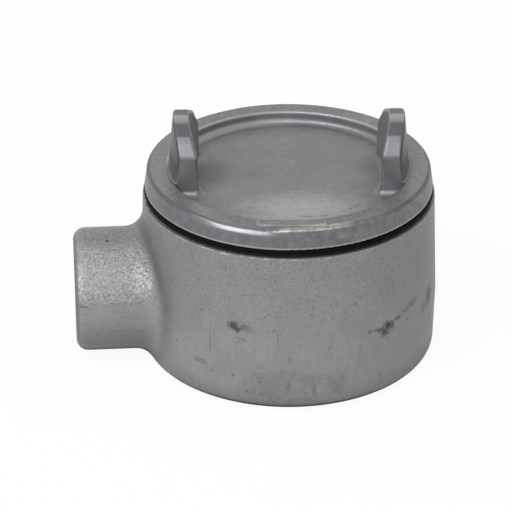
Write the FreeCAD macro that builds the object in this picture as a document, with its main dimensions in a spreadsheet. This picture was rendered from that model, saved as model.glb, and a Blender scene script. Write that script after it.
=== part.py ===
import FreeCAD, Part
import math
import os
import Sketcher
from FreeCAD import Vector

# Threaded round junction box with a screwed cover, sizes in millimetres.
# The box stands on z = 0 around the z axis, its hub points to -x, the cover lies on top.

doc = FreeCAD.newDocument("round_junction_box")
sheet = doc.addObject("Spreadsheet::Sheet", "Sizes")

# Driving sizes
sizes = {
    # box casting
    "box_height": 56.9,
    "rim_radius": 49.1,
    "waist_swell": 1.2,
    "foot_swell": 0.6,
    "foot_round": 4.0,
    "wall_thickness": 6.9,
    "floor_thickness": 6.5,
    "cavity_round": 5.0,
    # cover thread, three and a quarter inches with twelve turns to the inch
    "mouth_wall": 7.65,
    "mouth_depth": 18.0,
    "mouth_chamfer": 1.2,
    "thread_room": 1.4,
    # conduit hub with a three quarter inch taper pipe thread
    "hub_radius": 20.95,
    "hub_height": 21.9,
    "hub_stand": 23.9,
    "hub_round": 4.0,
    "hub_blend": 7.5,
    "pipe_radius": 13.2,
    "pipe_depth": 18.0,
    "pipe_chamfer": 1.0,
    "throat_radius": 10.4,
    "throat_length": 4.0,
    "throat_round": 1.2,
    "way_radius": 15.0,
    # ground boss and its screw
    "boss_inset": 17.8,
    "boss_radius": 6.5,
    "boss_height": 8.5,
    "screw_hole_depth": 10.5,
    "screw_radius": 2.4,
    "screw_clearance": 0.06,
    "screw_length": 9.5,
    "washer_radius": 5.1,
    "washer_height": 0.9,
    "head_radius": 4.6,
    "head_height": 3.0,
    "slot_width": 1.2,
    "slot_depth": 1.3,
    # rubber ring
    "seal_height": 2.7,
    "seal_inset": 0.45,
    "seal_width": 3.55,
    "seal_clearance": 0.3,
    # cover casting
    "cover_inset": 0.6,
    "cover_rim_height": 7.1,
    "cover_rim_draft": 1.0,
    "cover_rim_round": 1.1,
    "cover_edge_round": 0.5,
    "cover_rim_width": 7.9,
    "recess_depth": 4.2,
    "recess_slope": 0.5,
    "recess_round": 2.4,
    "recess_lip_round": 0.5,
    "plate_thickness": 4.9,
    "pilot_gap": 0.5,
    "skirt_length": 14.0,
    "skirt_thickness": 5.5,
    "skirt_chamfer": 1.0,
    # wrench lugs, heights measured from the lower edge of the cover
    "lug_overhang": -0.3,
    "lug_thickness": 7.5,
    "lug_outer_draft": 1.9,
    "lug_inner_draft": 0.6,
    "lug_half_length": 14.5,
    "lug_shoulder_height": 16.5,
    "lug_bend_half_length": 10.6,
    "lug_bend_height": 22.4,
    "lug_crown_half_length": 3.5,
    "lug_height": 25.9,
    "lug_bend_round": 2.5,
    "lug_crown_round": 2.0,
    "lug_edge_round": 1.1,
    "lug_foot_round": 0.7,
    # raised pad at the front of the cover rim
    "pad_half_width": 11.3,
    "pad_inset": 0.6,
    "pad_width": 4.2,
    "pad_height": 0.5,
    # where the screwed cover comes to rest, in degrees from the line through the hub
    "cover_stop_angle": -3.5,
}

for row, (name, value) in enumerate(sizes.items(), start=1):
    sheet.set("A%d" % row, name)
    sheet.set("B%d" % row, repr(value))
    sheet.setAlias("B%d" % row, name)
doc.recompute()


def bound(text):
    """Expression with each size name pointing at its cell."""
    words = []
    for word in text.split():
        words.append("Sizes." + word if word in sizes else word)
    return " ".join(words)


def bind(thing, prop, text):
    thing.setExpression(prop, bound(text))


# Radii and levels that several pieces share
WAIST_RADIUS = "( rim_radius + waist_swell )"
FOOT_RADIUS = "( rim_radius + foot_swell )"
CAVITY_RADIUS = "( rim_radius + foot_swell - wall_thickness )"
MOUTH_RADIUS = "( rim_radius - mouth_wall )"
SKIRT_RADIUS = "( rim_radius - mouth_wall - thread_room )"
SKIRT_INSIDE = "( rim_radius - mouth_wall - thread_room - skirt_thickness )"
SEAL_RADIUS = "( rim_radius - seal_inset )"
PILOT_RADIUS = "( rim_radius - seal_inset - seal_width - seal_clearance )"
COVER_RADIUS = "( rim_radius - cover_inset )"
COVER_CREST = "( rim_radius - cover_inset - cover_rim_draft )"
RECESS_RADIUS = "( rim_radius - cover_inset - cover_rim_width )"
RECESS_FOOT = "( rim_radius - cover_inset - cover_rim_width - recess_slope )"
LUG_OUTSIDE = "( rim_radius - cover_inset - cover_rim_width + lug_overhang )"
LUG_INSIDE = "( rim_radius - cover_inset - cover_rim_width + lug_overhang - lug_thickness )"
PAD_BACK = "( rim_radius - cover_inset - cover_rim_width + pad_inset )"
HUB_REACH = "( rim_radius + hub_stand )"
BOSS_PLACE = "( rim_radius + foot_swell - wall_thickness - boss_inset )"
FLANGE = "( box_height + seal_height )"
COVER_TOP = "( box_height + seal_height + cover_rim_height )"
COVER_FLOOR = "( box_height + seal_height + cover_rim_height - recess_depth )"
COVER_UNDER = "( box_height + seal_height + cover_rim_height - recess_depth - plate_thickness )"
PILOT_FOOT = "( box_height + pilot_gap )"
SKIRT_FOOT = "( box_height - skirt_length )"
BOSS_TOP = "( floor_thickness + boss_height )"


def new_body(label):
    body = doc.addObject("PartDesign::Body", label)
    body.Label = label
    return body


def origin_plane(body, role):
    for feature in body.Origin.OriginFeatures:
        if feature.Role == role:
            return feature
    raise RuntimeError("no plane " + role)


def new_sketch(body, role, name, lift=None, rise=None):
    """Sketch on one of the body's own planes, moved along its normal by lift or up in the plane by rise."""
    sketch = body.newObject("Sketcher::SketchObject", name)
    sketch.AttachmentSupport = [(origin_plane(body, role), "")]
    sketch.MapMode = "FlatFace"
    if lift:
        bind(sketch, "AttachmentOffset.Base.z", lift)
    if rise:
        bind(sketch, "AttachmentOffset.Base.y", rise)
    return sketch


def fix_point(sketch, line, across, up):
    """Hold the start of a line at a bound place, on an axis where the place is 0."""
    point = sketch.Geometry[line].StartPoint
    for kind, text, axis, value in (("DistanceX", across, -2, point.x), ("DistanceY", up, -1, point.y)):
        if text == "0":
            sketch.addConstraint(Sketcher.Constraint("PointOnObject", line, 1, axis))
        else:
            number = sketch.addConstraint(Sketcher.Constraint(kind, -1, 1, line, 1, value))
            bind(sketch, "Constraints[%d]" % number, text)


def outline(sketch, corners):
    """Closed outline through bound corners."""
    first = sketch.GeometryCount
    count = len(corners)
    start = []
    for i in range(count):
        turn = 2 * math.pi * i / count
        start.append(Vector(20 * math.cos(turn) + 30, 20 * math.sin(turn) + 30, 0))
    for i in range(count):
        sketch.addGeometry(Part.LineSegment(start[i], start[(i + 1) % count]), False)
    for i in range(count):
        sketch.addConstraint(Sketcher.Constraint("Coincident", first + i, 2, first + (i + 1) % count, 1))
    for i, (across, up) in enumerate(corners):
        fix_point(sketch, first + i, across, up)


def circle(sketch, across, up, radius):
    """Circle with a bound centre and radius."""
    number = sketch.addGeometry(Part.Circle(Vector(10, 10, 0), Vector(0, 0, 1), 5), False)
    for kind, text, axis in (("DistanceX", across, -2), ("DistanceY", up, -1)):
        if text == "0":
            sketch.addConstraint(Sketcher.Constraint("PointOnObject", number, 3, axis))
        else:
            held = sketch.addConstraint(Sketcher.Constraint(kind, -1, 1, number, 3, 10))
            bind(sketch, "Constraints[%d]" % held, text)
    held = sketch.addConstraint(Sketcher.Constraint("Radius", number, 5))
    bind(sketch, "Constraints[%d]" % held, radius)


def turned(body, kind, name, sketch, axis="V_Axis"):
    """Revolution or groove of a sketch through a full turn."""
    feature = body.newObject("PartDesign::" + kind, name)
    feature.Profile = sketch
    feature.ReferenceAxis = (sketch, [axis])
    feature.Angle = 360
    doc.recompute()
    return feature


def raised(body, kind, name, sketch, length, midplane=False, down=False):
    """Pad or pocket of a sketch by a bound length."""
    feature = body.newObject("PartDesign::" + kind, name)
    feature.Profile = sketch
    bind(feature, "Length", length)
    feature.Midplane = midplane
    feature.Reversed = down
    doc.recompute()
    return feature


def rounded(body, kind, name, size, wanted):
    """Fillet or chamfer on the edges that pass the test."""
    base = body.Tip
    found = []
    for number, edge in enumerate(base.Shape.Edges, start=1):
        if wanted(edge):
            found.append("Edge%d" % number)
    if not found:
        raise RuntimeError("no edge for " + name)
    feature = body.newObject("PartDesign::" + kind, name)
    feature.Base = (base, found)
    bind(feature, "Radius" if kind == "Fillet" else "Size", size)
    doc.recompute()
    return feature


def level_circle(height, radius):
    """Test for a full or part circle around the z axis at a height."""
    def test(edge):
        curve = edge.Curve
        if not isinstance(curve, Part.Circle):
            return False
        on_axis = math.hypot(curve.Center.x, curve.Center.y) < 0.01 and abs(curve.Axis.z) > 0.99
        return on_axis and abs(curve.Center.z - height) < 0.02 and abs(curve.Radius - radius) < 0.02
    return test


def number(text):
    """Value of a sum of sizes, used only to find edges."""
    total = 0.0
    sign = 1.0
    for word in text.replace("(", " ").replace(")", " ").split():
        if word == "-":
            sign = -1.0
        elif word == "+":
            sign = 1.0
        else:
            total += sign * float(sheet.get(word))
    return total


# Box casting, with draft up and down from the parting plane through the hub
box = new_body("box_body")
shell = new_sketch(box, "XZ_Plane", "box_outline")
outline(shell, [
    ("0", "0"),
    (FOOT_RADIUS, "0"),
    (WAIST_RADIUS, "hub_height"),
    ("rim_radius", "box_height"),
    ("0", "box_height"),
])
turned(box, "Revolution", "box_cup", shell)
rounded(box, "Fillet", "box_foot", "foot_round", level_circle(0.0, number(FOOT_RADIUS)))

hub_ring = new_sketch(box, "YZ_Plane", "hub_ring")
circle(hub_ring, "0", "hub_height", "hub_radius")
raised(box, "Pad", "hub", hub_ring, HUB_REACH, down=True)
if box.Shape.BoundBox.XMin > -number(WAIST_RADIUS) - 1:
    raise RuntimeError("the hub points the wrong way")


def hub_seam(edge):
    box_of_edge = edge.BoundBox
    inside = box_of_edge.XMax < -0.6 * number(FOOT_RADIUS) and box_of_edge.XMin > -number(WAIST_RADIUS) - 1
    return inside and box_of_edge.YLength > 5


rounded(box, "Fillet", "hub_blending", "hub_blend", hub_seam)


def hub_end(edge):
    return edge.BoundBox.XMax < 0.5 - number(HUB_REACH) and edge.Length > number("hub_radius")


rounded(box, "Fillet", "hub_end", "hub_round", hub_end)

cavity = new_sketch(box, "XZ_Plane", "cavity_outline")
outline(cavity, [
    ("0", "floor_thickness"),
    (CAVITY_RADIUS, "floor_thickness"),
    (CAVITY_RADIUS, "box_height - mouth_depth"),
    (MOUTH_RADIUS, "box_height - mouth_depth + " + CAVITY_RADIUS + " - " + MOUTH_RADIUS),
    (MOUTH_RADIUS, "box_height - mouth_chamfer"),
    (MOUTH_RADIUS + " + mouth_chamfer", "box_height"),
    ("0", "box_height"),
])
turned(box, "Groove", "cavity", cavity)
rounded(box, "Fillet", "cavity_corner", "cavity_round", level_circle(number("floor_thickness"), number(CAVITY_RADIUS)))

bore = new_sketch(box, "XZ_Plane", "hub_bore_outline", rise="hub_height")
hub_face = "0 - " + HUB_REACH
thread_end = hub_face + " + pipe_depth"
outline(bore, [
    (hub_face, "0"),
    (hub_face, "pipe_radius + pipe_chamfer"),
    (hub_face + " + pipe_chamfer", "pipe_radius"),
    (thread_end, "pipe_radius"),
    (thread_end, "throat_radius"),
    (thread_end + " + throat_length", "throat_radius"),
    ("0 - " + CAVITY_RADIUS + " + wall_thickness", "way_radius"),
    ("0 - " + CAVITY_RADIUS + " + wall_thickness", "0"),
])
turned(box, "Groove", "hub_bore", bore, "H_Axis")


def throat_edge(edge):
    curve = edge.Curve
    if not isinstance(curve, Part.Circle):
        return False
    return abs(curve.Axis.x) > 0.99 and abs(curve.Radius - number("throat_radius")) < 0.01


rounded(box, "Fillet", "throat_lips", "throat_round", throat_edge)

boss_ring = new_sketch(box, "XY_Plane", "boss_ring")
circle(boss_ring, BOSS_PLACE, "0", "boss_radius")
raised(box, "Pad", "ground_boss", boss_ring, BOSS_TOP)
tap_ring = new_sketch(box, "XY_Plane", "tap_ring", lift=BOSS_TOP)
circle(tap_ring, BOSS_PLACE, "0", "screw_radius + screw_clearance")
before = box.Shape.Volume
raised(box, "Pocket", "ground_tap", tap_ring, "screw_hole_depth")
if box.Shape.Volume > before - 100:
    raise RuntimeError("the tapped hole points the wrong way")

# Cover casting
cover = new_body("cover")
disc = new_sketch(cover, "XZ_Plane", "cover_outline")
outline(disc, [
    ("0", COVER_FLOOR),
    (RECESS_FOOT, COVER_FLOOR),
    (RECESS_RADIUS, COVER_TOP),
    (COVER_CREST, COVER_TOP),
    (COVER_RADIUS, FLANGE),
    (PILOT_RADIUS, FLANGE),
    (PILOT_RADIUS, PILOT_FOOT),
    (SKIRT_RADIUS, PILOT_FOOT),
    (SKIRT_RADIUS, SKIRT_FOOT + " + skirt_chamfer"),
    (SKIRT_RADIUS + " - skirt_chamfer", SKIRT_FOOT),
    (SKIRT_INSIDE, SKIRT_FOOT),
    (SKIRT_INSIDE, COVER_UNDER),
    ("0", COVER_UNDER),
])
turned(cover, "Revolution", "cover_disc", disc)
rounded(cover, "Fillet", "cover_rim", "cover_rim_round", level_circle(number(COVER_TOP), number(COVER_CREST)))
rounded(cover, "Fillet", "cover_edge", "cover_edge_round", level_circle(number(FLANGE), number(COVER_RADIUS)))

rounded(cover, "Fillet", "recess_lip", "recess_lip_round", level_circle(number(COVER_TOP), number(RECESS_RADIUS)))

lugs = new_sketch(cover, "YZ_Plane", "lug_outline")
half = [
    ("lug_half_length", COVER_FLOOR + " - recess_depth"),
    ("lug_half_length", FLANGE + " + lug_shoulder_height"),
    ("lug_bend_half_length", FLANGE + " + lug_bend_height"),
    ("lug_crown_half_length", FLANGE + " + lug_height"),
]
other_half = [("0 - " + across, up) for across, up in reversed(half)]
outline(lugs, half + other_half)
raised(cover, "Pad", "lug_bar", lugs, LUG_OUTSIDE + " * 2.05", midplane=True)


def along_x(heights):
    """Test for a straight edge along x at one of the heights."""
    def test(edge):
        if not isinstance(edge.Curve, Part.Line) or edge.BoundBox.XLength < number(LUG_OUTSIDE):
            return False
        return any(abs(edge.BoundBox.ZMin - height) < 0.02 for height in heights)
    return test


flange_level = number(FLANGE)
bends = [flange_level + number("lug_shoulder_height"), flange_level + number("lug_bend_height")]
rounded(cover, "Fillet", "lug_bends", "lug_bend_round", along_x(bends))
crown = [flange_level + number("lug_height")]
rounded(cover, "Fillet", "lug_crowns", "lug_crown_round", along_x(crown))

trim = new_sketch(cover, "XZ_Plane", "lug_faces")
ABOVE = FLANGE + " + lug_height + lug_crown_round"
outline(trim, [
    ("0", COVER_FLOOR),
    (LUG_INSIDE, COVER_FLOOR),
    (LUG_INSIDE + " + lug_inner_draft", ABOVE),
    ("0", ABOVE),
])
outline(trim, [
    (LUG_OUTSIDE, COVER_TOP),
    (LUG_OUTSIDE + " * 2", COVER_TOP),
    (LUG_OUTSIDE + " * 2", ABOVE),
    (LUG_OUTSIDE + " - lug_outer_draft", ABOVE),
])
turned(cover, "Groove", "lug_curves", trim)


def lug_faces_at(height):
    """Radii of the lugs' inner and outer faces at a height."""
    top = number(FLANGE + " + lug_height + lug_crown_round")
    up_inside = (height - number(COVER_FLOOR)) / (top - number(COVER_FLOOR))
    up_outside = (height - number(COVER_TOP)) / (top - number(COVER_TOP))
    inside = number(LUG_INSIDE) + up_inside * number("lug_inner_draft")
    outside = number(LUG_OUTSIDE) - up_outside * number("lug_outer_draft")
    return inside, outside


def middle_of(edge):
    return edge.valueAt(0.5 * (edge.FirstParameter + edge.LastParameter))


def lug_edge(edge):
    """Edges along the lugs' curved faces, without their feet and the seams of those faces."""
    middle = middle_of(edge)
    limits = edge.BoundBox
    if limits.ZMax < number(COVER_TOP) + 0.5 or abs(middle.x) < 0.5 * number(LUG_INSIDE):
        return False
    if isinstance(edge.Curve, Part.Line) and limits.YLength < 0.01 and limits.ZLength > 5:
        return False
    radius = math.hypot(middle.x, middle.y)
    return any(abs(radius - face) < 0.03 for face in lug_faces_at(middle.z))


def recess_corner(edge):
    """Edges around the floor of the recess, along its wall and the feet of the lugs."""
    limits = edge.BoundBox
    if abs(limits.ZMin - number(COVER_FLOOR)) > 0.02 or limits.ZLength > 0.02:
        return False
    middle = middle_of(edge)
    return math.hypot(middle.x, middle.y) > 0.8 * number(LUG_INSIDE)


def lug_foot(edge):
    """Arcs where the lugs stand on the rim."""
    middle = middle_of(edge)
    if edge.BoundBox.ZLength > 0.02 or abs(middle.z - number(COVER_TOP)) > 0.02:
        return False
    return abs(math.hypot(middle.x, middle.y) - number(LUG_OUTSIDE)) < 0.02


rounded(cover, "Fillet", "lug_edges", "lug_edge_round", lug_edge)
rounded(cover, "Fillet", "recess_foot", "recess_round", recess_corner)
rounded(cover, "Fillet", "lug_feet", "lug_foot_round", lug_foot)

pad = new_sketch(cover, "XY_Plane", "pad_outline", lift=COVER_TOP + " + pad_height")
outline(pad, [
    ("0 - pad_half_width", "0 - " + PAD_BACK),
    ("0 - pad_half_width", "0 - " + PAD_BACK + " - pad_width"),
    ("pad_half_width", "0 - " + PAD_BACK + " - pad_width"),
    ("pad_half_width", "0 - " + PAD_BACK),
])
raised(cover, "Pad", "rim_pad", pad, "pad_height + recess_depth", down=True)
cover.Placement = FreeCAD.Placement(Vector(0, 0, 0), FreeCAD.Rotation(Vector(0, 0, 1), number("cover_stop_angle")))
bind(cover, "Placement.Rotation.Angle", "cover_stop_angle")

# Rubber ring
ring = new_body("cover_o_ring")
section = new_sketch(ring, "XZ_Plane", "ring_section")
outline(section, [
    (SEAL_RADIUS + " - seal_width", "box_height"),
    (SEAL_RADIUS, "box_height"),
    (SEAL_RADIUS, FLANGE),
    (SEAL_RADIUS + " - seal_width", FLANGE),
])
turned(ring, "Revolution", "ring_band", section)


def ring_corner(edge):
    return isinstance(edge.Curve, Part.Circle)


rounded(ring, "Fillet", "ring_rounds", "seal_height * 0.47", ring_corner)

# Ground screw
screw = new_body("ground_screw")
stem = new_sketch(screw, "XZ_Plane", "screw_outline")
outline(stem, [
    (BOSS_PLACE, BOSS_TOP + " - screw_length"),
    (BOSS_PLACE + " + screw_radius - slot_width * 0.5", BOSS_TOP + " - screw_length"),
    (BOSS_PLACE + " + screw_radius", BOSS_TOP + " - screw_length + slot_width * 0.5"),
    (BOSS_PLACE + " + screw_radius", BOSS_TOP),
    (BOSS_PLACE + " + washer_radius", BOSS_TOP),
    (BOSS_PLACE + " + washer_radius", BOSS_TOP + " + washer_height"),
    (BOSS_PLACE, BOSS_TOP + " + washer_height"),
])
stem_turn = screw.newObject("PartDesign::Revolution", "screw_stem")
stem_turn.Profile = stem
stem_turn.ReferenceAxis = (stem, ["Edge7"])
stem_turn.Angle = 360
doc.recompute()

hexagon = new_sketch(screw, "XY_Plane", "head_outline", lift=BOSS_TOP)
flats = []
for i in range(6):
    turn = "%d deg" % (60 * i)
    across = BOSS_PLACE + " + head_radius * cos( %s )" % turn
    up = "0" if i % 3 == 0 else "head_radius * sin( %s )" % turn
    flats.append((across, up))
outline(hexagon, flats)
raised(screw, "Pad", "screw_head", hexagon, "washer_height + head_height")
slot = new_sketch(screw, "XY_Plane", "slot_outline", lift=BOSS_TOP + " + washer_height + head_height")
outline(slot, [
    (BOSS_PLACE + " - head_radius * 1.2", "0 - slot_width * 0.5"),
    (BOSS_PLACE + " + head_radius * 1.2", "0 - slot_width * 0.5"),
    (BOSS_PLACE + " + head_radius * 1.2", "slot_width * 0.5"),
    (BOSS_PLACE + " - head_radius * 1.2", "slot_width * 0.5"),
])
raised(screw, "Pocket", "screw_slot", slot, "slot_depth")

# Checks and files
doc.recompute()
for thing in doc.Objects:
    if "Invalid" in thing.State or "Error" in thing.State:
        raise RuntimeError("%s did not build: %s" % (thing.Name, thing.State))
os.makedirs("parts", exist_ok=True)
for body in (box, cover, ring, screw):
    shape = body.Shape
    if shape.isNull() or not shape.isValid() or len(shape.Solids) != 1:
        raise RuntimeError(body.Label + " is not one sound solid")
    shape.exportStep("parts/%s.step" % body.Label)
    limits = shape.BoundBox
    print("%s %.1f cm3, x %.1f %.1f, y %.1f %.1f, z %.1f %.1f" % (
        body.Label, shape.Volume / 1000, limits.XMin, limits.XMax, limits.YMin, limits.YMax, limits.ZMin, limits.ZMax))
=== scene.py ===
import math
from collections import namedtuple
import bpy
from mathutils import Matrix, Vector


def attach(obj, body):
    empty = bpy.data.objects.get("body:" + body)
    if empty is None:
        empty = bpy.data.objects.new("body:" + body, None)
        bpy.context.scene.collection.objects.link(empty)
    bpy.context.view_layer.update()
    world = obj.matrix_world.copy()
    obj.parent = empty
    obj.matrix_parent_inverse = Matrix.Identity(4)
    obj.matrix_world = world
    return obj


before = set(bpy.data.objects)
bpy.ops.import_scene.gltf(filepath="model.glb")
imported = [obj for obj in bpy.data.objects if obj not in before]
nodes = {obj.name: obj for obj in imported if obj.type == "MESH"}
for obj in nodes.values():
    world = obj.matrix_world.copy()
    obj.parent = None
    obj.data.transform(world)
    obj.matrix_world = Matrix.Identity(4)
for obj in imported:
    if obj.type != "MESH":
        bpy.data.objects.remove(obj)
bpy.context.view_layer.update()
scene = bpy.context.scene

MM = 0.001

# Sizes shared with the solids, in millimetres
BOX_HEIGHT = 56.9
BOX_RIM_RADIUS = 49.1
HUB_HEIGHT = 21.9
HUB_END = -73.0
MOUTH_RADIUS = 41.45
SKIRT_RADIUS = 40.05
COVER_PITCH = 2.11667
PIPE_RADIUS = 13.2
PIPE_PITCH = 1.814
FLANGE = 59.6
RIM_TOP = 66.7
COVER_RADIUS = 48.5
RECESS_FLOOR = 62.5
RECESS_RADIUS = 40.6
LUG_TOP = 85.5
LUG_INNER_RADIUS = 32.8
LUG_OUTER_RADIUS = 40.3
PAD_INNER_RADIUS = 41.2
PAD_OUTER_RADIUS = 45.4
PAD_HALF_WIDTH = 11.3
PAD_OFFSET = 2.2

# Slopes of the lug faces, and of the screwed cover against the line through the hub
LUG_INNER_DRAFT = 0.023
LUG_OUTER_DRAFT = 0.073
COVER_SLOPE = 0.061

# Thread ridges: lengths in millimetres, the crest's share of the foot and the steps in a turn
THREAD_FOOT = 1.6
THREAD_SUNK = 0.08
THREAD_CREST_SHARE = 0.16
THREAD_STEPS = 96
COVER_THREAD_DEPTH = 1.0
PIPE_THREAD_DEPTH = 1.15
MOUTH_THREAD_START = 40.6
SKIRT_THREAD_START = MOUTH_THREAD_START + 2.5 * COVER_PITCH
PIPE_THREAD_START = 55.9

# Noise scales of the skins, per metre
BOX_GRAINS = 1600.0
COVER_GRAINS = 1500.0
RING_GRAINS = 1500.0
SCREW_GRAINS = 1200.0
CUT_GRAINS = 1400.0

# Shares of white in the floor as the camera and as reflections see it
FLOOR_WHITE_SEEN = 0.93
FLOOR_WHITE_MIRRORED = 0.35

# Lamps: name, azimuth and elevation in degrees, distance, width and height in metres, power in watts
LAMPS = [
    ("key", -38.0, 46.0, 1.3, 1.8, 0.7, 8.5),
    ("core", -52.0, 45.0, 1.2, 0.35, 0.35, 2.0),
    ("top", -8.0, 64.0, 1.3, 0.55, 0.35, 1.8),
]
LAMP_AIM = Vector((0.0, 0.0, 0.04))

# Camera matched to the photograph: degrees, millimetres and pixels
CAMERA_AZIMUTH = -4.113
CAMERA_ELEVATION = 28.342
CAMERA_ROLL = -0.114
CAMERA_DISTANCE = 1000.0
TARGET_SIDE = -11.029
TARGET_HEIGHT = 31.669
SENSOR_WIDTH = 36.0
PHOTO_WIDTH = 512.0
PIXELS_PER_MM = 2.934


# Node helpers
def add(tree, kind, **settings):
    """New node with its settings and the default values of its inputs."""
    made = tree.nodes.new(kind)
    for name, value in settings.items():
        if name == "inputs":
            for socket, number in value.items():
                made.inputs[socket].default_value = number
        else:
            setattr(made, name, value)
    return made


def join(tree, start, end):
    tree.links.new(start, end)


def feed(tree, socket, value):
    """Gives a socket a link, a colour or a plain number."""
    if isinstance(value, (int, float)):
        socket.default_value = value
    elif isinstance(value, tuple):
        socket.default_value = (*value, 1.0)
    else:
        join(tree, value, socket)


def math_node(tree, operation, first, second=0.0):
    made = add(tree, "ShaderNodeMath", operation=operation)
    feed(tree, made.inputs[0], first)
    feed(tree, made.inputs[1], second)
    return made.outputs[0]


def times(tree, first, second):
    return math_node(tree, "MULTIPLY", first, second)


def plus(tree, first, second):
    return math_node(tree, "ADD", first, second)


def minus(tree, first, second):
    return math_node(tree, "SUBTRACT", first, second)


def greater(tree, first, second):
    return math_node(tree, "MAXIMUM", first, second)


def all_of(tree, *shares):
    """Product of several shares."""
    total = shares[0]
    for share in shares[1:]:
        total = times(tree, total, share)
    return total


def reach_of(tree, first, second):
    """Length of the line with these two sides."""
    return math_node(tree, "SQRT", plus(tree, times(tree, first, first), times(tree, second, second)))


def ramp_between(tree, value, low, high):
    """Goes softly from 0 at low to 1 at high."""
    made = add(tree, "ShaderNodeMapRange", interpolation_type="SMOOTHSTEP")
    feed(tree, made.inputs["Value"], value)
    feed(tree, made.inputs["From Min"], low)
    feed(tree, made.inputs["From Max"], high)
    return made.outputs["Result"]


def band(tree, value, start, full, ebbing, gone):
    """Goes softly from 0 at start to 1 at full, and from 1 at ebbing to 0 at gone."""
    return times(tree, ramp_between(tree, value, start, full), ramp_between(tree, value, gone, ebbing))


def beside(level, *steps):
    """Places at these steps from a level."""
    return [level + step for step in steps]


def mix_values(tree, share, first, second):
    made = add(tree, "ShaderNodeMix", data_type="FLOAT")
    for socket, value in zip((made.inputs[0], made.inputs[2], made.inputs[3]), (share, first, second)):
        feed(tree, socket, value)
    return made.outputs[0]


def mix_colours(tree, share, first, second):
    made = add(tree, "ShaderNodeMix", data_type="RGBA")
    for socket, value in zip((made.inputs[0], made.inputs[6], made.inputs[7]), (share, first, second)):
        feed(tree, socket, value)
    return made.outputs[2]


def coat(tree, colour, paint, *shares):
    """Lays a paint over a colour, by its strength, where all the shares meet."""
    tint, strength = paint
    return mix_colours(tree, all_of(tree, *shares, strength), colour, tint)


def noise(tree, place, scale, detail=3.0, roughness=0.55):
    made = add(tree, "ShaderNodeTexNoise", inputs={"Detail": detail, "Roughness": roughness})
    join(tree, place, made.inputs["Vector"])
    feed(tree, made.inputs["Scale"], scale)
    return made.outputs[0]


def stretched_noise(tree, place, scale):
    """Noise drawn out along the axes with a small scale."""
    mapping = add(tree, "ShaderNodeMapping", inputs={"Scale": scale})
    join(tree, place, mapping.inputs["Vector"])
    return noise(tree, mapping.outputs[0], 1.0, 3.0, 0.6)


def new_group(name, inputs, outputs):
    tree = bpy.data.node_groups.new(name, "ShaderNodeTree")
    for label, kind in inputs:
        tree.interface.new_socket(name=label, in_out="INPUT", socket_type=kind)
    for label, kind in outputs:
        tree.interface.new_socket(name=label, in_out="OUTPUT", socket_type=kind)
    return tree, add(tree, "NodeGroupInput").outputs, add(tree, "NodeGroupOutput").inputs


# Skin of a sand casting: rounded grains, fine grit, pits and broad drifts of tone
def make_cast_skin():
    outputs = [(name, "NodeSocketFloat") for name in ("Height", "Grains", "Grit", "Pits", "Drift")]
    tree, given, result = new_group(
        "cast_skin", [("Place", "NodeSocketVector"), ("Grains", "NodeSocketFloat")], outputs
    )
    place, grains = given["Place"], given["Grains"]
    lumps = noise(tree, place, grains, 3.0, 0.6)
    swells = noise(tree, place, times(tree, grains, 0.35), 2.0, 0.5)
    grit = noise(tree, place, times(tree, grains, 3.1), 2.0, 0.6)
    drift = noise(tree, place, times(tree, grains, 0.06), 3.0, 0.5)
    specks = noise(tree, place, times(tree, grains, 1.2), 2.0, 0.5)
    height = plus(tree, times(tree, lumps, 0.55), times(tree, swells, 0.45))
    join(tree, plus(tree, height, times(tree, grit, 0.12)), result["Height"])
    join(tree, ramp_between(tree, lumps, 0.3, 0.7), result["Grains"])
    join(tree, grit, result["Grit"])
    join(tree, ramp_between(tree, specks, 0.62, 0.72), result["Pits"])
    join(tree, drift, result["Drift"])
    return tree


# A smudge with a ragged edge around one place
def make_smudge():
    inputs = [(name, "NodeSocketVector") for name in ("Place", "Centre", "Reach")]
    inputs.append(("Ragged", "NodeSocketFloat"))
    tree, given, result = new_group("smudge", inputs, [("Mask", "NodeSocketFloat")])
    away = add(tree, "ShaderNodeVectorMath", operation="SUBTRACT")
    join(tree, given["Place"], away.inputs[0])
    join(tree, given["Centre"], away.inputs[1])
    scaled = add(tree, "ShaderNodeVectorMath", operation="DIVIDE")
    join(tree, away.outputs[0], scaled.inputs[0])
    join(tree, given["Reach"], scaled.inputs[1])
    length = add(tree, "ShaderNodeVectorMath", operation="LENGTH")
    join(tree, scaled.outputs[0], length.inputs[0])
    torn = minus(tree, noise(tree, given["Place"], 450.0, 5.0, 0.7), 0.5)
    reach = plus(tree, length.outputs["Value"], times(tree, torn, given["Ragged"]))
    join(tree, ramp_between(tree, reach, 1.0, 0.2), result["Mask"])
    return tree


CAST_SKIN = make_cast_skin()
SMUDGE = make_smudge()

# Place on a piece in metres, with its axes and its distance from the upright axis in millimetres
Spot = namedtuple("Spot", "place x y z radius")


def new_material(name):
    """Material with its nodes, the inputs of its shader and the place on the piece."""
    material = bpy.data.materials.new(name)
    material.use_nodes = True
    tree = material.node_tree
    place = add(tree, "ShaderNodeTexCoord").outputs["Object"]
    return material, tree, tree.nodes["Principled BSDF"].inputs, place


def axes_of(tree, place):
    """The three axes of a place, in millimetres."""
    scaled = add(tree, "ShaderNodeVectorMath", operation="SCALE", inputs={"Scale": 1.0 / MM})
    join(tree, place, scaled.inputs[0])
    axes = add(tree, "ShaderNodeSeparateXYZ")
    join(tree, scaled.outputs[0], axes.inputs[0])
    return axes.outputs


def spot_of(tree, place):
    x, y, z = axes_of(tree, place)
    return Spot(place, x, y, z, reach_of(tree, x, y))


def cast_skin(tree, place, grains):
    made = add(tree, "ShaderNodeGroup", node_tree=CAST_SKIN, inputs={"Grains": grains})
    join(tree, place, made.inputs["Place"])
    return made.outputs


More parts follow.
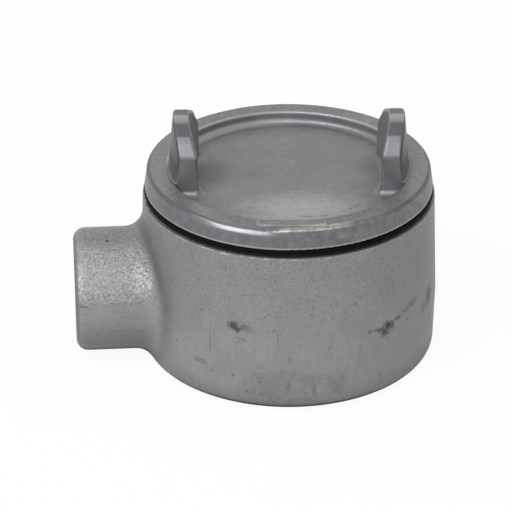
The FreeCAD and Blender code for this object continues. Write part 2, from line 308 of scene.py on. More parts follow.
def smudges(tree, place, marks):
    """Strongest of several smudges: centre and reach in millimetres, raggedness and weight."""
    total = 0.0
    for centre, reach, ragged, weight in marks:
        made = add(tree, "ShaderNodeGroup", node_tree=SMUDGE)
        join(tree, place, made.inputs["Place"])
        made.inputs["Centre"].default_value = Vector(centre) * MM
        made.inputs["Reach"].default_value = Vector(reach) * MM
        made.inputs["Ragged"].default_value = ragged
        total = greater(tree, times(tree, made.outputs["Mask"], weight), total)
    return total


def bump(tree, shader, height, distance):
    made = add(tree, "ShaderNodeBump", inputs={"Distance": distance, "Strength": 1.0})
    join(tree, height, made.inputs["Height"])
    join(tree, made.outputs["Normal"], shader["Normal"])


# Grey coated iron of the box: two tones, and paints with their strengths
BOX_TONES = ((0.278, 0.278, 0.276), (0.308, 0.308, 0.306))
BOX_PAINTS = {
    "right_side_shade": ((0.2, 0.2, 0.198), 0.35),
    "hub_upper_highlight": ((0.45, 0.45, 0.443), 1.0),
    "glint": ((0.68, 0.68, 0.67), 1.0),
    "hub_end": ((0.07, 0.07, 0.068), 0.6),
    "hollow": ((0.12, 0.12, 0.117), 1.0),
    "grains": ((0.13, 0.13, 0.127), 1.0),
    "low_shade": ((0.127, 0.126, 0.115), 1.0),
    "runs": ((0.13, 0.13, 0.12), 1.0),
    "pits": ((0.10, 0.10, 0.095), 1.0),
    "holes": ((0.09, 0.09, 0.085), 0.55),
    "low_edge_painted_light": ((0.05, 0.05, 0.046), 1.0),
    "smudge": ((0.04, 0.04, 0.034), 1.0),
    "bare": ((0.5, 0.5, 0.49), 1.0),
}

BOX_SMUDGES = [
    ((-21.7, -45.3, 31.0), (2.6, 6.0, 2.2), 1.5, 0.9),
    ((-20.6, -45.8, 29.8), (2.2, 6.0, 1.8), 1.8, 0.85),
    ((-18.0, -46.5, 31.0), (3.0, 5.0, 2.4), 2.8, 0.5),
    ((-19.3, -46.2, 26.6), (2.4, 5.0, 0.5), 1.5, 0.35),
    ((-18.6, -46.4, 25.9), (2.2, 5.0, 0.45), 1.5, 0.3),
    ((29.8, -40.4, 26.0), (3.6, 5.0, 2.8), 2.0, 0.95),
    ((28.4, -41.4, 24.4), (2.6, 5.0, 3.0), 2.2, 0.9),
    ((25.8, -43.0, 26.0), (2.2, 4.0, 0.9), 1.8, 0.6),
    ((23.3, -44.3, 26.2), (1.0, 4.0, 0.9), 1.4, 0.55),
    ((36.7, -34.1, 24.8), (0.9, 4.0, 0.8), 1.4, 0.45),
    ((33.4, -37.5, 27.2), (2.6, 4.0, 1.2), 2.4, 0.55),
    ((36.4, -34.5, 28.6), (2.6, 4.0, 1.6), 2.8, 0.4),
    ((38.8, -31.6, 29.6), (3.0, 6.0, 2.2), 2.8, 0.3),
    ((45.4, -21.3, 26.4), (2.4, 6.0, 4.6), 2.8, 0.5),
    ((43.6, -24.8, 24.0), (2.4, 6.0, 3.0), 2.8, 0.3),
    ((-32.5, -38.1, 14.6), (3.4, 5.0, 1.6), 2.8, 0.35),
    ((-29.2, -40.8, 23.8), (0.45, 6.0, 8.0), 0.8, 0.25),
    ((-7.5, -49.6, 26.6), (0.6, 5.0, 4.0), 1.4, 0.22),
    ((-2.0, -50.2, 15.0), (1.2, 5.0, 2.6), 2.8, 0.25),
    ((-3.6, -50.1, 20.0), (0.8, 5.0, 2.0), 2.4, 0.25),
    ((3.1, -49.9, 10.8), (7.0, 5.0, 4.0), 3.2, 0.26),
    ((12.0, -48.6, 9.0), (5.0, 5.0, 4.6), 3.4, 0.26),
    ((-12.0, -48.6, 7.0), (6.0, 5.0, 3.0), 3.2, 0.26),
    ((-8.0, -49.0, 9.5), (20.0, 8.0, 9.0), 2.8, 0.2),
    ((4.6, -49.8, 9.0), (0.9, 5.0, 5.0), 1.8, 0.4),
    ((-4.0, -50.0, 9.5), (1.2, 5.0, 3.0), 2.4, 0.4),
    ((-13.0, -48.4, 11.0), (2.5, 5.0, 1.2), 2.6, 0.35),
    ((-28.5, -41.2, 11.9), (1.0, 4.0, 0.8), 1.4, 0.4),
    ((-12.5, -48.5, 10.0), (0.9, 4.0, 0.7), 1.4, 0.4),
    ((-22.0, -44.9, 12.1), (1.0, 4.0, 0.8), 1.4, 0.45),
    ((-17.5, -46.7, 6.8), (1.0, 4.0, 0.8), 1.4, 0.45),
    ((-61.6, -4.5, 42.3), (0.9, 0.9, 1.0), 0.4, 1.0),
    ((-70.5, -20.6, 26.0), (2.6, 4.0, 0.6), 1.4, 0.5),
]


def paint_hub(tree, grey, spot, bore_radius, skin, highlight_half):
    """Painted highlight on the upper half, painted glints near the end and at the flare, painted shade on the
    end and in the hollow beside the body.
    """
    x, z = spot.x, spot.z
    below_top = mix_values(tree, ramp_between(tree, z, 42.8, 40.6), 0.2, 0.85)
    over_seam = mix_values(tree, ramp_between(tree, z, 26.0, 34.0), 0.75, 1.0)
    # painted highlight: the upper half of the hub is paler
    grey = coat(tree, grey, BOX_PAINTS["hub_upper_highlight"], highlight_half, below_top, over_seam)
    # painted glints near the end of the hub and at the flare
    glint_height = band(tree, z, 29.0, 32.0, 36.0, 40.0)
    flare = all_of(tree, band(tree, x, -55.5, -51.5, -48.5, -46.0), skin["Grains"], 0.7)
    end_edge = times(tree, band(tree, x, *beside(HUB_END, 0.8, 1.4, 2.4, 3.1)), 0.6)
    grey = coat(tree, grey, BOX_PAINTS["glint"], greater(tree, flare, end_edge), glint_height)
    # painted shade: the end of the hub is darker
    end_face = ramp_between(tree, x, *beside(HUB_END, 1.5, 0.6))
    grey = coat(tree, grey, BOX_PAINTS["hub_end"], end_face)
    # painted shade in the hollow where the hub meets the body
    around_hub = band(tree, bore_radius, 22.5, 25.5, 26.0, 32.5)
    beside_body = ramp_between(tree, x, -36.0, -43.0)
    darker_above = mix_values(tree, ramp_between(tree, z, 22.0, 40.0), 0.32, 0.5)
    return coat(tree, grey, BOX_PAINTS["hollow"], around_hub, beside_body, darker_above)


def bare_iron(tree, spot, bore_radius):
    """Where the rim is worn bright in spots, more at the left as a painted highlight, and the cut mouth and
    pipe thread.
    """
    x, z, radius = spot.x, spot.z, spot.radius
    at_top = ramp_between(tree, z, *beside(BOX_HEIGHT, -0.8, -0.2))
    at_rim = ramp_between(tree, radius, *beside(BOX_RIM_RADIUS, -1.3, -0.4))
    # worn spots, stronger at the left where they also stand for a painted highlight
    more_at_left = mix_values(tree, ramp_between(tree, x, 4.0, -12.0), 0.25, 0.7)
    spots = ramp_between(tree, noise(tree, spot.place, 480.0, 4.0, 0.65), 0.42, 0.62)
    worn = all_of(tree, at_top, at_rim, more_at_left, spots)
    mouth_wall = ramp_between(tree, radius, *beside(MOUTH_RADIUS, 1.75, 1.05))
    in_mouth = times(tree, ramp_between(tree, z, 38.5, 40.5), mouth_wall)
    pipe_wall = ramp_between(tree, bore_radius, *beside(PIPE_RADIUS, 1.4, 1.1))
    in_bore = times(tree, ramp_between(tree, x, -54.5, -55.3), pipe_wall)
    return greater(tree, worn, greater(tree, in_mouth, in_bore))


def make_box_iron():
    material, tree, shader, place = new_material("box_iron")
    spot = spot_of(tree, place)
    x, z = spot.x, spot.z
    bore_radius = reach_of(tree, spot.y, minus(tree, z, HUB_HEIGHT))
    on_hub = ramp_between(tree, x, -45.0, -50.0)
    skin = cast_skin(tree, place, BOX_GRAINS)
    # the upper half of the mould left a rougher skin than the lower half
    seam = mix_values(tree, on_hub, 31.0, 26.4)
    seam_width = mix_values(tree, on_hub, 14.0, 1.2)
    above = math_node(tree, "DIVIDE", minus(tree, z, seam), seam_width)
    rough = ramp_between(tree, above, -1.0, 1.0)
    body_peel = mix_values(tree, rough, 0.3, 0.7)
    hub_peel = mix_values(tree, rough, 0.25, 1.0)
    peel = mix_values(tree, on_hub, body_peel, hub_peel)
    tone = ramp_between(tree, skin["Drift"], 0.3, 0.7)
    grey = mix_colours(tree, tone, *BOX_TONES)
    # painted shade: the right side of the box is darker
    grey = coat(tree, grey, BOX_PAINTS["right_side_shade"], ramp_between(tree, x, 10.0, 42.0))
    grey = paint_hub(tree, grey, spot, bore_radius, skin, times(tree, on_hub, rough))
    # dark grains, strongest where the hub joins the body
    at_joint = all_of(tree, ramp_between(tree, x, -57.0, -51.0), ramp_between(tree, z, 30.0, 40.0), on_hub)
    grain_weight = mix_values(tree, at_joint, 0.62, 0.95)
    grey = coat(tree, grey, BOX_PAINTS["grains"], peel, grain_weight, minus(tree, 1.0, skin["Grains"]))
    # painted shade below, on the low body and the underside of the hub, and runs down the body and along the
    # hub
    low_body = times(tree, ramp_between(tree, z, 10.0, 1.0), 0.5)
    low_hub = times(tree, ramp_between(tree, z, 22.0, 9.0), 0.62)
    grey = coat(tree, grey, BOX_PAINTS["low_shade"], mix_values(tree, on_hub, low_body, low_hub))
    runs_down = stretched_noise(tree, place, (700.0, 700.0, 90.0))
    runs_along = stretched_noise(tree, place, (70.0, 600.0, 600.0))
    runs = mix_values(tree, on_hub, runs_down, runs_along)
    runs_weight = mix_values(tree, rough, 0.28, 0.05)
    grey = coat(tree, grey, BOX_PAINTS["runs"], ramp_between(tree, runs, 0.5, 0.75), runs_weight)
    # small pits and sparser holes
    grey = coat(tree, grey, BOX_PAINTS["pits"], skin["Pits"], body_peel)
    holes = ramp_between(tree, noise(tree, place, 900.0, 2.0, 0.5), 0.665, 0.72)
    grey = coat(tree, grey, BOX_PAINTS["holes"], holes)
    # painted shade: the lower edges of the base and of the hub are dark
    base_edge = times(tree, band(tree, z, 0.1, 0.3, 1.2, 3.1), 0.95)
    hub_edge = all_of(tree, band(tree, z, 1.6, 3.0, 4.4, 8.2), on_hub, 0.65)
    low_edge_painted_light = greater(tree, base_edge, hub_edge)
    grey = coat(tree, grey, BOX_PAINTS["low_edge_painted_light"], low_edge_painted_light)
    dark = smudges(tree, place, BOX_SMUDGES)
    grey = coat(tree, grey, BOX_PAINTS["smudge"], dark)
    bare = bare_iron(tree, spot, bore_radius)
    join(tree, coat(tree, grey, BOX_PAINTS["bare"], bare), shader["Base Color"])
    matt = plus(tree, times(tree, skin["Grit"], 0.14), 0.36)
    matt = mix_values(tree, dark, mix_values(tree, bare, matt, 0.28), 0.7)
    join(tree, mix_values(tree, low_edge_painted_light, matt, 0.8), shader["Roughness"])
    metal = mix_values(tree, dark, mix_values(tree, bare, 0.6, 1.0), 0.1)
    join(tree, mix_values(tree, low_edge_painted_light, metal, 0.0), shader["Metallic"])
    join(tree, mix_values(tree, low_edge_painted_light, 0.25, 0.0), shader["Specular IOR Level"])
    height = plus(tree, times(tree, skin["Height"], peel), times(tree, runs, 0.05))
    height = times(tree, height, minus(tree, 1.0, times(tree, bare, 0.85)))
    bump(tree, shader, minus(tree, height, times(tree, dark, 0.1)), 0.8 * MM)
    return material


# Satin cast aluminium of the cover: warm tones, bluish tones that are a painted reflection, and paints with
# their strengths
BLUISH_REFLECTION_TONES = ((0.196, 0.196, 0.210), (0.224, 0.224, 0.238))
WARM_TONES = ((0.201, 0.201, 0.199), (0.229, 0.229, 0.227))
COVER_PAINTS = {
    "far_floor": ((0.30, 0.30, 0.30), 0.5),
    "pale_floor": ((0.39, 0.39, 0.382), 1.0),
    "mottle": ((0.10, 0.10, 0.104), 1.0),
    "rim_sides": ((0.32, 0.32, 0.315), 0.2),
    "rim_crest": ((0.06, 0.06, 0.062), 0.6),
    "rim_front": ((0.08, 0.08, 0.08), 0.16),
    "dark_lip": ((0.08, 0.08, 0.08), 0.55),
    "pale_lip": ((0.42, 0.42, 0.43), 0.7),
    "corner": ((0.36, 0.36, 0.37), 0.5),
    "lug": ((0.06, 0.06, 0.063), 0.18),
    "lug_outer_face": ((0.045, 0.045, 0.048), 0.88),
    "lug_inner_face": ((0.30, 0.30, 0.31), 0.6),
    "lug_shade_below_tip": ((0.10, 0.10, 0.106), 0.45),
    "lug_foot": ((0.34, 0.34, 0.357), 0.5),
    "lug_tip_highlight": ((0.36, 0.36, 0.378), 0.85),
    "smudge": ((0.06, 0.06, 0.057), 1.0),
    "pits": ((0.09, 0.09, 0.09), 0.25),
    "rim_face": ((0.11, 0.11, 0.121), 1.0),
    "stain": ((0.25, 0.25, 0.215), 1.0),
    "rubbed_crest_highlight": ((0.5, 0.49, 0.45), 0.7),
    "pad_outline": ((0.36, 0.36, 0.355), 0.35),
    "edge_highlight": ((0.42, 0.42, 0.42), 0.7),
    "turned": ((0.5, 0.5, 0.51), 1.0),
    "ground": ((0.215, 0.215, 0.224), 0.8),
}

# Dark smudges: the four on the rim by the front lip are painted shade, and the two broad patches beside the
# lugs are painted reflections of the lugs in the floor
COVER_SMUDGES_SHADE_REFLECTIONS = [
    ((18.2, -25.7, 62.5), (1.2, 1.0, 1.0), 1.2, 0.5),
    ((19.8, -24.4, 62.5), (1.3, 1.0, 1.0), 1.2, 0.6),
    ((21.3, -23.3, 62.5), (1.1, 0.9, 1.0), 1.2, 0.5),
    ((20.4, -30.1, 62.5), (1.8, 0.9, 1.0), 1.4, 0.45),
    ((23.4, -28.8, 62.5), (2.0, 0.9, 1.0), 1.4, 0.5),
    ((26.4, -27.4, 62.5), (1.6, 0.9, 1.0), 1.4, 0.4),
    ((4.0, -30.4, 62.5), (4.0, 0.9, 1.0), 2.4, 0.4),
    ((9.4, -30.0, 62.5), (2.4, 0.9, 1.0), 2.4, 0.45),
    ((18.8, -38.4, 66.7), (2.2, 1.2, 1.0), 1.6, 0.35),
    ((21.4, -36.8, 66.7), (2.4, 1.2, 1.0), 1.6, 0.45),
    ((23.9, -35.1, 66.7), (2.0, 1.2, 1.0), 1.6, 0.4),
    ((26.7, -35.8, 66.7), (2.4, 1.2, 1.0), 1.6, 0.3),
    ((28.5, 6.0, 62.5), (6.0, 11.0, 2.0), 0.8, 0.3),
    ((-26.5, 4.5, 62.5), (8.0, 13.0, 2.0), 0.8, 0.3),
]
PALE_FLOOR = [((1.0, -25.0, 62.5), (30.0, 17.0, 2.0), 0.5, 0.9)]
RIM_STAIN = [((14.0, -46.3, 63.0), (3.0, 3.0, 1.5), 0.8, 0.5)]

# Share of the ground edge's fall that is reached at the level top of the rim
FALL_ON_TOP = 0.9415


def paint_rim(tree, colour, spot, on_rim):
    """Top paler at both sides, edge darker at both sides as painted shade, top darker in front, lip dark at
    the sides as painted shade and pale behind as a painted highlight.
    """
    x, y, z, radius = spot.x, spot.y, spot.z, spot.radius
    at_sides = ramp_between(tree, math_node(tree, "ABSOLUTE", x), 20.0, 34.0)
    at_back = ramp_between(tree, y, 0.0, 12.0)
    colour = coat(tree, colour, COVER_PAINTS["rim_sides"], on_rim, at_sides)
    # painted shade: the crest of the rim is darker at both sides
    crest_radius = ramp_between(tree, radius, *beside(COVER_RADIUS, -2.1, -1.7))
    crest_height = ramp_between(tree, z, *beside(RIM_TOP, -1.1, -0.7))
    colour = coat(tree, colour, COVER_PAINTS["rim_crest"], crest_radius, crest_height, at_sides)
    colour = coat(tree, colour, COVER_PAINTS["rim_front"], on_rim, ramp_between(tree, y, -25.0, -38.0))
    lip = band(tree, radius, *beside(RECESS_RADIUS, -0.4, -0.1, 0.5, 0.9))
    lip = times(tree, lip, ramp_between(tree, z, *beside(RIM_TOP, -1.0, -0.6)))
    # painted shade on the lip at the sides
    before_back = ramp_between(tree, y, 6.0, -2.0)
    colour = coat(tree, colour, COVER_PAINTS["dark_lip"], lip, at_sides, before_back)
    # painted highlight on the lip behind
    colour = coat(tree, colour, COVER_PAINTS["pale_lip"], lip, at_back)
    # painted highlight: the corner of the recess is paler at the back left
    corner = ramp_between(tree, radius, *beside(RECESS_RADIUS, -3.0, -2.4))
    corner = times(tree, corner, ramp_between(tree, z, *beside(RECESS_FLOOR, 2.2, 1.6)))
    at_left = ramp_between(tree, x, 12.0, -12.0)
    return coat(tree, colour, COVER_PAINTS["corner"], corner, at_left, at_back)


def paint_lugs(tree, colour, spot):
    """Lugs darker, darker outside, paler inside, with painted shade below the tips and painted highlights on
    the feet and the front of the tips.
    """
    z, radius = spot.z, spot.radius
    above_rim = ramp_between(tree, z, *beside(RIM_TOP, -0.7, 1.3))
    in_recess = ramp_between(tree, radius, *beside(RECESS_RADIUS, 0.4, -0.1))
    colour = coat(tree, colour, COVER_PAINTS["lug"], above_rim, in_recess)
    # the drafts are taken off, so that each face keeps one radius
    risen = minus(tree, z, RECESS_FLOOR)
    outer_radius = plus(tree, radius, times(tree, risen, LUG_OUTER_DRAFT))
    inner_radius = minus(tree, radius, times(tree, risen, LUG_INNER_DRAFT))
    off_outer_face = ramp_between(tree, outer_radius, *beside(LUG_OUTER_RADIUS, 0.0, -0.7))
    off_inner_face = ramp_between(tree, inner_radius, *beside(LUG_INNER_RADIUS, 0.0, 0.7))
    lug_ends = times(tree, off_outer_face, off_inner_face)
    outer_face = minus(tree, 1.0, off_outer_face)
    outer_height = ramp_between(tree, z, *beside(RIM_TOP, 0.3, 6.3))
    colour = coat(tree, colour, COVER_PAINTS["lug_outer_face"], outer_face, outer_height)
    inner_face = minus(tree, 1.0, off_inner_face)
    inner_height = ramp_between(tree, z, *beside(RECESS_FLOOR, 1.5, 3.5))
    colour = coat(tree, colour, COVER_PAINTS["lug_inner_face"], inner_face, inner_height)
    # painted shade on the lug faces below the tips
    below_tip = ramp_between(tree, z, *beside(LUG_TOP, -6.2, -3.5))
    colour = coat(tree, colour, COVER_PAINTS["lug_shade_below_tip"], below_tip, lug_ends)
    # painted highlight on the feet of the lugs
    foot = band(tree, z, *beside(RECESS_FLOOR, 1.5, 2.7, 3.5, 13.7))
    colour = coat(tree, colour, COVER_PAINTS["lug_foot"], foot, lug_ends)
    # painted highlight on the front of the lug tips
    tip = ramp_between(tree, z, *beside(LUG_TOP, -1.3, -0.3))
    along_lug = plus(tree, spot.y, times(tree, spot.x, COVER_SLOPE))
    front_half = ramp_between(tree, along_lug, -0.4, -1.2)
    return coat(tree, colour, COVER_PAINTS["lug_tip_highlight"], tip, front_half, lug_ends)


def paint_rim_face(tree, colour, spot):
    """Outer face of the rim darker and stained, its crest rubbed bright in front, with a painted highlight
    there.
    """
    x, y, z, radius = spot.x, spot.y, spot.z, spot.radius
    face_darkening = mix_values(tree, ramp_between(tree, x, 8.0, 30.0), 0.35, 0.12)
    face = ramp_between(tree, radius, *beside(COVER_RADIUS, -1.1, -0.8))
    colour = coat(tree, colour, COVER_PAINTS["rim_face"], face, face_darkening)
    colour = coat(tree, colour, COVER_PAINTS["stain"], smudges(tree, spot.place, RIM_STAIN))
    # the crest rubbed bright in front, also a painted highlight
    in_front = times(tree, band(tree, x, -9.0, -4.0, 11.0, 19.0), ramp_between(tree, y, -36.0, -39.0))
    crest = ramp_between(tree, radius, *beside(COVER_RADIUS, -3.2, -2.8))
    crest = times(tree, crest, ramp_between(tree, z, *beside(RIM_TOP, -0.9, -0.5)))
    torn = ramp_between(tree, noise(tree, spot.place, 500.0, 4.0, 0.6), 0.3, 0.55)
    return coat(tree, colour, COVER_PAINTS["rubbed_crest_highlight"], crest, in_front, torn)


def paint_edges(tree, colour, spot):
    """Painted highlights on the edges of the small pad, the lower edge of the cover and the pad's side."""
    x, y, z, radius = spot.x, spot.y, spot.z, spot.radius
    from_middle = math_node(tree, "ABSOLUTE", plus(tree, x, PAD_OFFSET))
    ends = ramp_between(tree, from_middle, *beside(PAD_HALF_WIDTH, -0.9, -0.4))
    inner_edge = ramp_between(tree, radius, *beside(PAD_INNER_RADIUS, 0.8, 0.4))
    outer_edge = ramp_between(tree, radius, *beside(PAD_OUTER_RADIUS, -0.7, -0.4))
    outline = greater(tree, ends, greater(tree, inner_edge, outer_edge))
    on_pad = ramp_between(tree, z, *beside(RIM_TOP, 0.25, 0.45))
    on_pad = times(tree, on_pad, ramp_between(tree, y, -34.0, -37.0))
    # painted highlight on the outline of the pad
    colour = coat(tree, colour, COVER_PAINTS["pad_outline"], outline, on_pad)
    # painted highlight on the lower edge of the cover and on the pad's side
    low_edge_painted_light = ramp_between(tree, radius, *beside(COVER_RADIUS, -0.7, -0.3))
    low_edge_painted_light = times(tree, low_edge_painted_light, ramp_between(tree, z, *beside(FLANGE, 1.0, 0.6)))
    pad_side = ramp_between(tree, radius, *beside(PAD_OUTER_RADIUS, -0.3, -0.1))
    pad_side = all_of(tree, pad_side, ramp_between(tree, z, *beside(RIM_TOP, 0.03, 0.08)), 0.5)
    return coat(tree, colour, COVER_PAINTS["edge_highlight"], greater(tree, low_edge_painted_light, pad_side))


def make_cover_aluminium():
    material, tree, shader, place = new_material("cover_aluminium")
    spot = spot_of(tree, place)
    x, y, z, radius = spot.x, spot.y, spot.z, spot.radius
    skin = cast_skin(tree, place, COVER_GRAINS)
    on_floor = ramp_between(tree, radius, *beside(RECESS_RADIUS, -2.1, -4.1))
    on_floor = times(tree, on_floor, ramp_between(tree, z, *beside(RECESS_FLOOR, 1.2, 0.4)))
    on_rim = band(tree, z, *beside(RIM_TOP, -0.5, -0.1, 0.2, 0.5))
    # the floor and the top of the rim are warmer than the rest, which carries the bluish painted reflection;
    # the floor is paler in front and behind
    tone = ramp_between(tree, skin["Drift"], 0.35, 0.65)
    cool = mix_colours(tree, tone, *BLUISH_REFLECTION_TONES)
    warm = mix_colours(tree, tone, *WARM_TONES)
    colour = mix_colours(tree, greater(tree, on_floor, on_rim), cool, warm)
    colour = coat(tree, colour, COVER_PAINTS["far_floor"], on_floor, ramp_between(tree, y, 5.0, 36.0))
    colour = coat(tree, colour, COVER_PAINTS["pale_floor"], smudges(tree, place, PALE_FLOOR))
    # a mottle, fainter inside the rim
    mottle = ramp_between(tree, noise(tree, place, 420.0, 5.0, 0.7), 0.38, 0.62)
    outside_recess = ramp_between(tree, radius, *beside(RECESS_RADIUS, 0.0, 0.6))
    colour = coat(tree, colour, COVER_PAINTS["mottle"], mottle, mix_values(tree, outside_recess, 0.18, 0.5))
    colour = paint_rim(tree, colour, spot, on_rim)
    colour = paint_lugs(tree, colour, spot)
    # dark smudges, with painted shade by the front lip and painted reflections of the lugs
    dark = smudges(tree, place, COVER_SMUDGES_SHADE_REFLECTIONS)
    colour = coat(tree, colour, COVER_PAINTS["smudge"], dark)
    colour = coat(tree, colour, COVER_PAINTS["pits"], skin["Pits"])
    colour = paint_rim_face(tree, colour, spot)
    colour = paint_edges(tree, colour, spot)
    # the skirt and neck are turned
    below = ramp_between(tree, z, *beside(FLANGE, -0.4, -0.8))
    turned = times(tree, below, ramp_between(tree, radius, 37.2, 38.5))
    colour = coat(tree, colour, COVER_PAINTS["turned"], turned)
    # the edge of the rim was ground rounder at the left of the front, and its paler colour there is a painted
    # highlight
    ground = times(tree, band(tree, x, -40.0, -22.0, -14.0, -3.0), ramp_between(tree, y, -20.0, -30.0))
    edge_radius = ramp_between(tree, radius, *beside(COVER_RADIUS, -2.5, -1.9))
    edge_height = ramp_between(tree, z, *beside(RIM_TOP, -2.9, -1.7))
    ground_edge_and_highlight = all_of(tree, edge_radius, edge_height, ground)
    colour = coat(tree, colour, COVER_PAINTS["ground"], ground_edge_and_highlight)
    on_top = times(tree, ramp_between(tree, radius, *beside(COVER_RADIUS, -3.0, -4.0)), FALL_ON_TOP)
    fall = greater(tree, ramp_between(tree, z, *beside(RIM_TOP, -2.9, 0.5)), on_top)
    join(tree, colour, shader["Base Color"])
    matt = plus(tree, times(tree, skin["Grit"], 0.12), mix_values(tree, on_floor, 0.32, 0.38))
    matt = mix_values(tree, ground_edge_and_highlight, matt, 0.26)
    join(tree, mix_values(tree, dark, matt, 0.6), shader["Roughness"])
    join(tree, mix_values(tree, dark, 0.65, 0.2), shader["Metallic"])
    cast_part = minus(tree, 1.0, times(tree, turned, 0.85))
    grain = all_of(tree, skin["Height"], cast_part, 0.07 * MM)
    bump(tree, shader, minus(tree, grain, all_of(tree, fall, ground, 1.5 * MM)), 1.0)
    return material


# Black rubber of the sealing ring, with painted light on its lower side
RUBBER_BLACK = (0.002, 0.002, 0.002)
RUBBER_LIT_GREY = (0.032, 0.032, 0.029)


def make_ring_rubber():
    material, tree, shader, place = new_material("ring_rubber")
    skin = cast_skin(tree, place, RING_GRAINS)
    # painted light on the lower side, broken into patches by the grit
    low_side = ramp_between(tree, axes_of(tree, place)["Z"], 58.4, 57.4)
    lit_patches = times(tree, low_side, ramp_between(tree, skin["Grit"], 0.2, 0.7))
    join(tree, mix_colours(tree, lit_patches, RUBBER_BLACK, RUBBER_LIT_GREY), shader["Base Color"])
    join(tree, plus(tree, times(tree, skin["Drift"], 0.2), 0.5), shader["Roughness"])
    shader["Specular IOR Level"].default_value = 0.06
    bump(tree, shader, skin["Height"], 0.06 * MM)
    return material


# Green plated steel of the ground screw
SCREW_GREENS = ((0.05, 0.26, 0.1), (0.09, 0.36, 0.15))


def make_screw_green():
    material, tree, shader, place = new_material("screw_green")
    skin = cast_skin(tree, place, SCREW_GRAINS)
    join(tree, mix_colours(tree, skin["Drift"], *SCREW_GREENS), shader["Base Color"])
    join(tree, plus(tree, times(tree, skin["Grit"], 0.15), 0.25), shader["Roughness"])
    shader["Metallic"].default_value = 0.7
    bump(tree, shader, skin["Height"], 0.03 * MM)
    return material


# Freshly cut thread
def make_cut_metal(name, low, high):
    material, tree, shader, place = new_material(name)
    skin = cast_skin(tree, place, CUT_GRAINS)
    join(tree, mix_colours(tree, skin["Drift"], low, high), shader["Base Color"])
    join(tree, plus(tree, times(tree, skin["Grit"], 0.2), 0.2), shader["Roughness"])
    shader["Metallic"].default_value = 1.0
    bump(tree, shader, skin["Grit"], 0.02 * MM)
    return material


BOX_IRON = make_box_iron()
COVER_ALUMINIUM = make_cover_aluminium()
RING_RUBBER = make_ring_rubber()
SCREW_GREEN = make_screw_green()
CUT_IRON = make_cut_metal("cut_iron", (0.40, 0.40, 0.39), (0.50, 0.50, 0.49))
CUT_ALUMINIUM = make_cut_metal("cut_aluminium", (0.48, 0.48, 0.49), (0.58, 0.58, 0.59))


def finish(piece, material):
    piece.data.materials.clear()
    piece.data.materials.append(material)


finish(nodes["box_body"], BOX_IRON)
finish(nodes["cover"], COVER_ALUMINIUM)
finish(nodes["cover_o_ring"], RING_RUBBER)
finish(nodes["ground_screw"], SCREW_GREEN)


# Thread ridges, wound from a small profile that stands on the wall
def thread_ridge(name, wall, depth, pitch, start, turns, inward):
    """Right-hand ridge around z, from a four-sided profile with its foot just inside the wall."""
    side = -1.0 if inward else 1.0
    middle = wall + side * 0.5 * (depth - THREAD_SUNK)
    crest = (wall + side * depth) * MM
    bpy.ops.object.select_all(action="DESELECT")
    bpy.ops.mesh.primitive_plane_add(
        size=1.0, location=(middle * MM, 0.0, start * MM), rotation=(math.pi / 2, 0.0, 0.0)
    )
    ridge = bpy.context.object
    ridge.name = name
    ridge.data.name = name
    ridge.scale = ((depth + THREAD_SUNK) * MM, THREAD_FOOT * MM, 1.0)
    bpy.ops.object.transform_apply(location=True, rotation=True, scale=True)
    bpy.ops.object.mode_set(mode="EDIT")
    bpy.ops.mesh.delete(type="ONLY_FACE")
    bpy.ops.mesh.select_all(action="DESELECT")
    bpy.ops.object.mode_set(mode="OBJECT")
    # the crest is narrower than the foot
    for vertex in ridge.data.vertices:
        vertex.select = abs(vertex.co.x - crest) < 0.01 * MM
    bpy.ops.object.mode_set(mode="EDIT")
    bpy.ops.transform.resize(value=(1.0, 1.0, THREAD_CREST_SHARE))
    bpy.ops.object.mode_set(mode="OBJECT")
    winding = ridge.modifiers.new("winding", "SCREW")
    winding.axis = "Z"
    winding.angle = 2 * math.pi
    winding.screw_offset = pitch * MM
    winding.iterations = turns
    winding.steps = THREAD_STEPS
    winding.render_steps = THREAD_STEPS
    winding.use_merge_vertices = False
    bpy.ops.object.modifier_apply(modifier=winding.name)
    bpy.ops.object.mode_set(mode="EDIT")
    bpy.ops.mesh.select_all(action="SELECT")
    bpy.ops.mesh.remove_doubles(threshold=0.001 * MM)
    bpy.ops.mesh.fill_holes(sides=4)
    bpy.ops.mesh.normals_make_consistent(inside=False)
    bpy.ops.object.mode_set(mode="OBJECT")
    bpy.ops.object.shade_smooth_by_angle(angle=math.radians(35))
    return ridge


mouth_thread = thread_ridge(
    "mouth_thread", MOUTH_RADIUS, COVER_THREAD_DEPTH, COVER_PITCH, MOUTH_THREAD_START, turns=7, inward=True
)
skirt_thread = thread_ridge(
    "skirt_thread", SKIRT_RADIUS, COVER_THREAD_DEPTH, COVER_PITCH, SKIRT_THREAD_START, turns=5, inward=False
)
pipe_thread = thread_ridge(
    "pipe_thread", PIPE_RADIUS, PIPE_THREAD_DEPTH, PIPE_PITCH, PIPE_THREAD_START, turns=8, inward=True
)

# The pipe thread is laid along the hub
bpy.ops.object.select_all(action="DESELECT")
pipe_thread.select_set(True)
bpy.context.view_layer.objects.active = pipe_thread
pipe_thread.rotation_euler = (0.0, -math.pi / 2, 0.0)
pipe_thread.location = (0.0, 0.0, HUB_HEIGHT * MM)
bpy.ops.object.transform_apply(location=True, rotation=True, scale=True)

for piece, body, slot, material in (
    (mouth_thread, "box", "box", CUT_IRON),
    (skirt_thread, "cover", "cover", CUT_ALUMINIUM),
    (pipe_thread, "box", "box", CUT_IRON),
):
    finish(piece, material)
    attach(piece, body)


def seen_white(tree, seen, mirrored):
    """Share of white for the camera and for reflections, none where only light is gathered."""
    path = add(tree, "ShaderNodeLightPath").outputs
    reflected = greater(tree, path["Is Glossy Ray"], path["Is Transmission Ray"])
    return greater(tree, times(tree, path["Is Camera Ray"], seen), times(tree, reflected, mirrored))


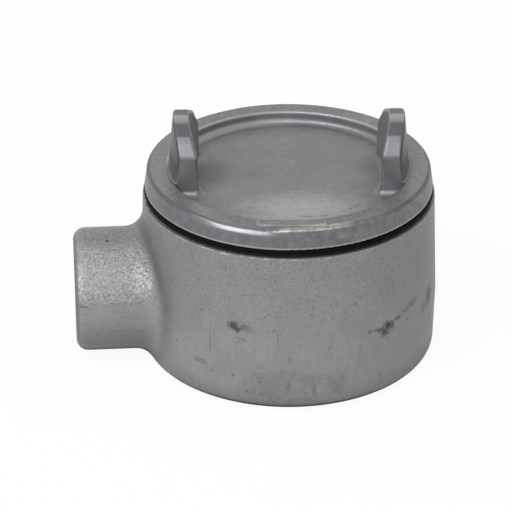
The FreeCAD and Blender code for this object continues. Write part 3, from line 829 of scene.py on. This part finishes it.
def choose(tree, share, first, second, surface):
    """Shows the first shader, and the second by its share."""
    choice = add(tree, "ShaderNodeMixShader")
    join(tree, share, choice.inputs[0])
    join(tree, first.outputs[0], choice.inputs[1])
    join(tree, second.outputs[0], choice.inputs[2])
    join(tree, choice.outputs[0], surface)


# Floor, whitened where it is seen but still with the shadow
def make_floor_paint():
    material = bpy.data.materials.new("pale_floor")
    material.use_nodes = True
    tree = material.node_tree
    paint = tree.nodes["Principled BSDF"]
    paint.inputs["Base Color"].default_value = (0.9, 0.9, 0.9, 1.0)
    paint.inputs["Roughness"].default_value = 0.9
    paint.inputs["Specular IOR Level"].default_value = 0.0
    glow = add(tree, "ShaderNodeEmission", inputs={"Color": (1.0, 1.0, 1.0, 1.0), "Strength": 1.0})
    white = seen_white(tree, FLOOR_WHITE_SEEN, FLOOR_WHITE_MIRRORED)
    choose(tree, white, paint, glow, tree.nodes["Material Output"].inputs["Surface"])
    return material


bpy.ops.object.select_all(action="DESELECT")
bpy.ops.mesh.primitive_plane_add(size=8.0, location=(0.0, 0.0, 0.0))
floor = bpy.context.object
floor.name = "floor"
finish(floor, make_floor_paint())


# Surroundings, dimmer overhead
def make_surroundings():
    world = bpy.data.worlds.new("surroundings")
    world.use_nodes = True
    tree = world.node_tree
    tree.nodes.clear()
    direction = add(tree, "ShaderNodeSeparateXYZ")
    join(tree, add(tree, "ShaderNodeTexCoord").outputs["Generated"], direction.inputs[0])
    overhead = ramp_between(tree, direction.outputs["Z"], 0.55, 1.0)
    sky = mix_colours(tree, overhead, (1.0, 1.0, 1.0), (0.7, 0.7, 0.7))
    ambient = add(tree, "ShaderNodeBackground", inputs={"Strength": 0.6})
    white = add(tree, "ShaderNodeBackground", inputs={"Strength": 1.0})
    join(tree, sky, ambient.inputs["Color"])
    join(tree, sky, white.inputs["Color"])
    surface = add(tree, "ShaderNodeOutputWorld").inputs["Surface"]
    choose(tree, seen_white(tree, 1.0, 1.0), ambient, white, surface)
    return world


scene.world = make_surroundings()


def toward(azimuth, elevation):
    """Direction at an azimuth from the front and an elevation, in degrees."""
    turned = math.radians(azimuth)
    raised = math.radians(elevation)
    level = math.cos(raised)
    return Vector((math.sin(turned) * level, -math.cos(turned) * level, math.sin(raised)))


# Soft lamps with a flat face, aimed at the object
for name, azimuth, elevation, distance, width, height, power in LAMPS:
    lamp_data = bpy.data.lights.new(name, "AREA")
    lamp_data.shape = "RECTANGLE"
    lamp_data.size = width
    lamp_data.size_y = height
    lamp_data.energy = power
    lamp = bpy.data.objects.new(name, lamp_data)
    scene.collection.objects.link(lamp)
    away = toward(azimuth, elevation)
    lamp.location = away * distance + LAMP_AIM
    lamp.rotation_euler = away.to_track_quat("Z", "Y").to_euler()

# Camera
back = toward(CAMERA_AZIMUTH, CAMERA_ELEVATION)
turn = math.radians(CAMERA_AZIMUTH)
roll = math.radians(CAMERA_ROLL)
right = Vector((math.cos(turn), math.sin(turn), 0.0))
up = back.cross(right)
camera_right = math.cos(roll) * right + math.sin(roll) * up
camera_up = math.cos(roll) * up - math.sin(roll) * right
target = TARGET_SIDE * MM * right + Vector((0.0, 0.0, TARGET_HEIGHT * MM))
camera_data = bpy.data.cameras.new("camera")
camera_data.sensor_width = SENSOR_WIDTH
camera_data.lens = SENSOR_WIDTH * PIXELS_PER_MM * CAMERA_DISTANCE / PHOTO_WIDTH
camera_data.clip_start = 0.01
camera = bpy.data.objects.new("camera", camera_data)
scene.collection.objects.link(camera)
facing = Matrix((camera_right, camera_up, back)).transposed().to_4x4()
camera.matrix_world = Matrix.Translation(target + back * (CAMERA_DISTANCE * MM)) @ facing
scene.camera = camera

scene.view_settings.view_transform = "Standard"

bpy.context.view_layer.update()
